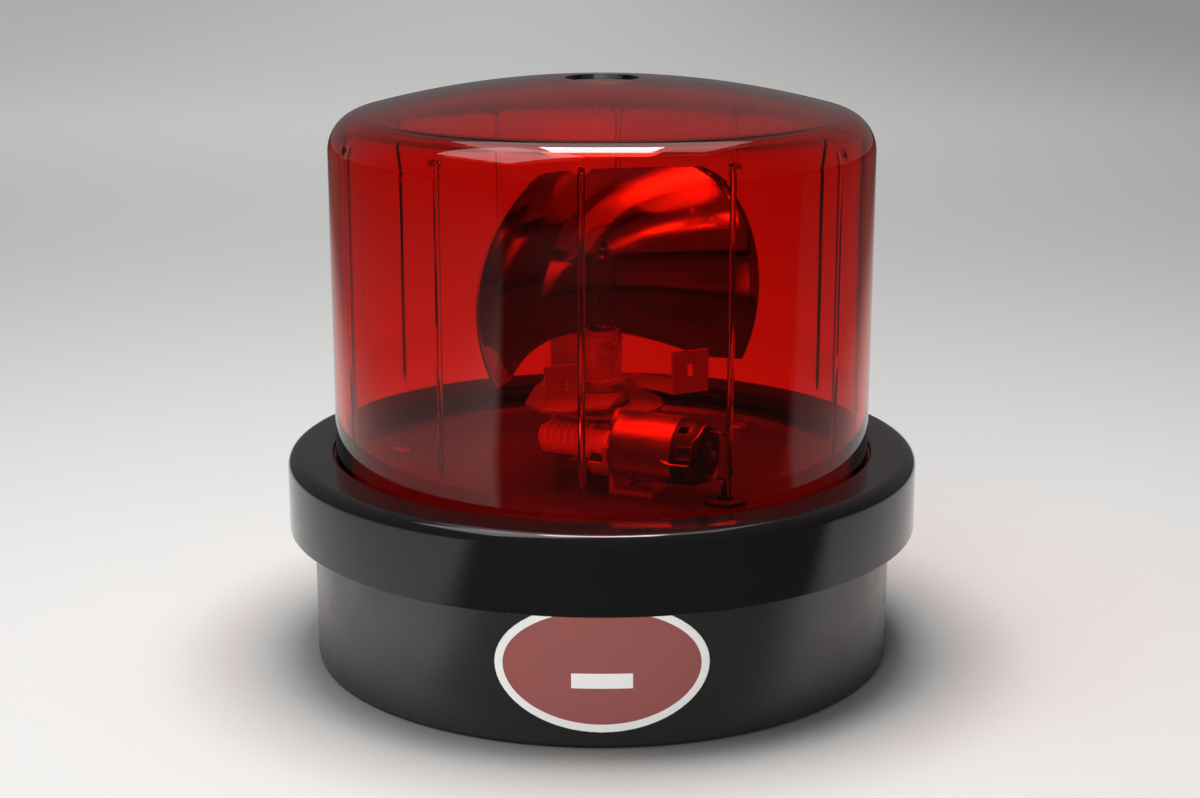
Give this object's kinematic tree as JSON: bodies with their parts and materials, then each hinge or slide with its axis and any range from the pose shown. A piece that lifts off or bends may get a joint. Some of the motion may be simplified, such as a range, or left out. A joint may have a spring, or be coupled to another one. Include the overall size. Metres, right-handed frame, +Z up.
{
  "type": "rotating beacon light",
  "caption": "Round black base can with a clamp ring and a red dome over a lamp that a motor-driven bowl reflector turns round.",
  "frame": {"origin": "middle of the base can's underside, which the light stands on", "axes": "+Z up along the lamp's axis, -Y out of the front with the label, +X to the right of the front"},
  "size_m": [0.204, 0.204, 0.1866],
  "materials": {
    "black_can": "satin black",
    "black_chassis": "gloss black",
    "black_ring": "polished black moulding",
    "red_dome": "clear red moulding",
    "label": "maroon foil with a white border, no lettering",
    "black_rubber": "moulded",
    "zinc_steel": "bright zinc",
    "post_steel": "turned",
    "plain_sheet": "plated sheet",
    "nickel": "nickel plated",
    "brass": "turned",
    "bronze": "sintered bronze",
    "insulator": "brown moulding",
    "spring_steel": "drawn wire",
    "lamp_glass": "clear",
    "tungsten": "dull",
    "motor_steel": "nickel plated",
    "ferrite": "sintered",
    "black_moulding": "black moulding",
    "carbon": "carbon",
    "wire_cover": "insulated wire",
    "red_wire_cover": "insulated wire",
    "nylon": "natural nylon",
    "bright_aluminium": "mirror polished",
    "worm_brass": "turned",
    "core_steel": "stacked sheets",
    "copper": "copper"
  },
  "bodies": {
    "base": {"base_shell": "black_can", "rating_label": "label", "cable_grommet": "black_rubber", "chassis_pillars": "zinc_steel", "chassis_plate": "black_chassis", "chassis_screws": "zinc_steel", "chassis_grommet": "black_rubber", "dome_gasket": "black_rubber", "ring_screws": "zinc_steel", "lamp_post": "post_steel", "post_screws": "zinc_steel", "thrust_washer": "bronze", "retaining_collar": "zinc_steel", "collar_set_screw": "zinc_steel", "socket_shell": "nickel", "socket_insulator": "insulator", "contact_plunger": "brass", "contact_spring": "spring_steel", "lamp_cap": "nickel", "lamp_glass": "lamp_glass", "lamp_filament": "tungsten", "gear_cover": "plain_sheet", "cover_pillars": "zinc_steel", "cover_screws": "zinc_steel", "motor_bracket": "plain_sheet", "bracket_screws": "zinc_steel", "motor_can": "motor_steel", "motor_screws": "zinc_steel", "motor_magnets": "ferrite", "front_bush": "bronze", "rear_bush": "bronze", "motor_end_bell": "black_moulding", "carbon_brushes": "carbon", "brush_holders": "brass", "brush_leads": "copper", "motor_terminals": "brass", "bonding_wire": "spring_steel", "motor_leads": "wire_cover", "lamp_lead": "red_wire_cover", "terminal_strip": "insulator", "terminal_screws": "brass"},
    "cover": {"clamp_ring": "black_ring", "dome": "red_dome"},
    "turntable": {"worm_wheel": "nylon", "wheel_hub": "brass", "wheel_rivets": "zinc_steel", "spindle_bush": "bronze", "turntable_bracket": "plain_sheet", "reflector": "bright_aluminium", "reflector_boss": "plain_sheet", "reflector_screws": "zinc_steel"},
    "motor_rotor": {"worm": "worm_brass", "motor_shaft": "post_steel", "armature_core": "core_steel", "armature_windings": "copper", "commutator": "copper"}
  },
  "joints": [
    {"name": "cover_lift", "type": "slide", "parent": "base", "child": "cover", "axis": [0, 0, 1], "range_m": [0, 0.13]},
    {"name": "reflector_spin", "type": "hinge", "parent": "base", "child": "turntable", "pos_m": [0, 0, 0.087], "axis": [0, 0, 1], "continuous": true},
    {"name": "motor_spin", "type": "hinge", "parent": "base", "child": "motor_rotor", "pos_m": [-0.00899, -0.01843, 0.0744], "axis": [0.8988, -0.4384, 0], "continuous": true}
  ],
  "couplings": [
    {"joint": "motor_spin", "follows": "reflector_spin", "ratio": -42}
  ]
}
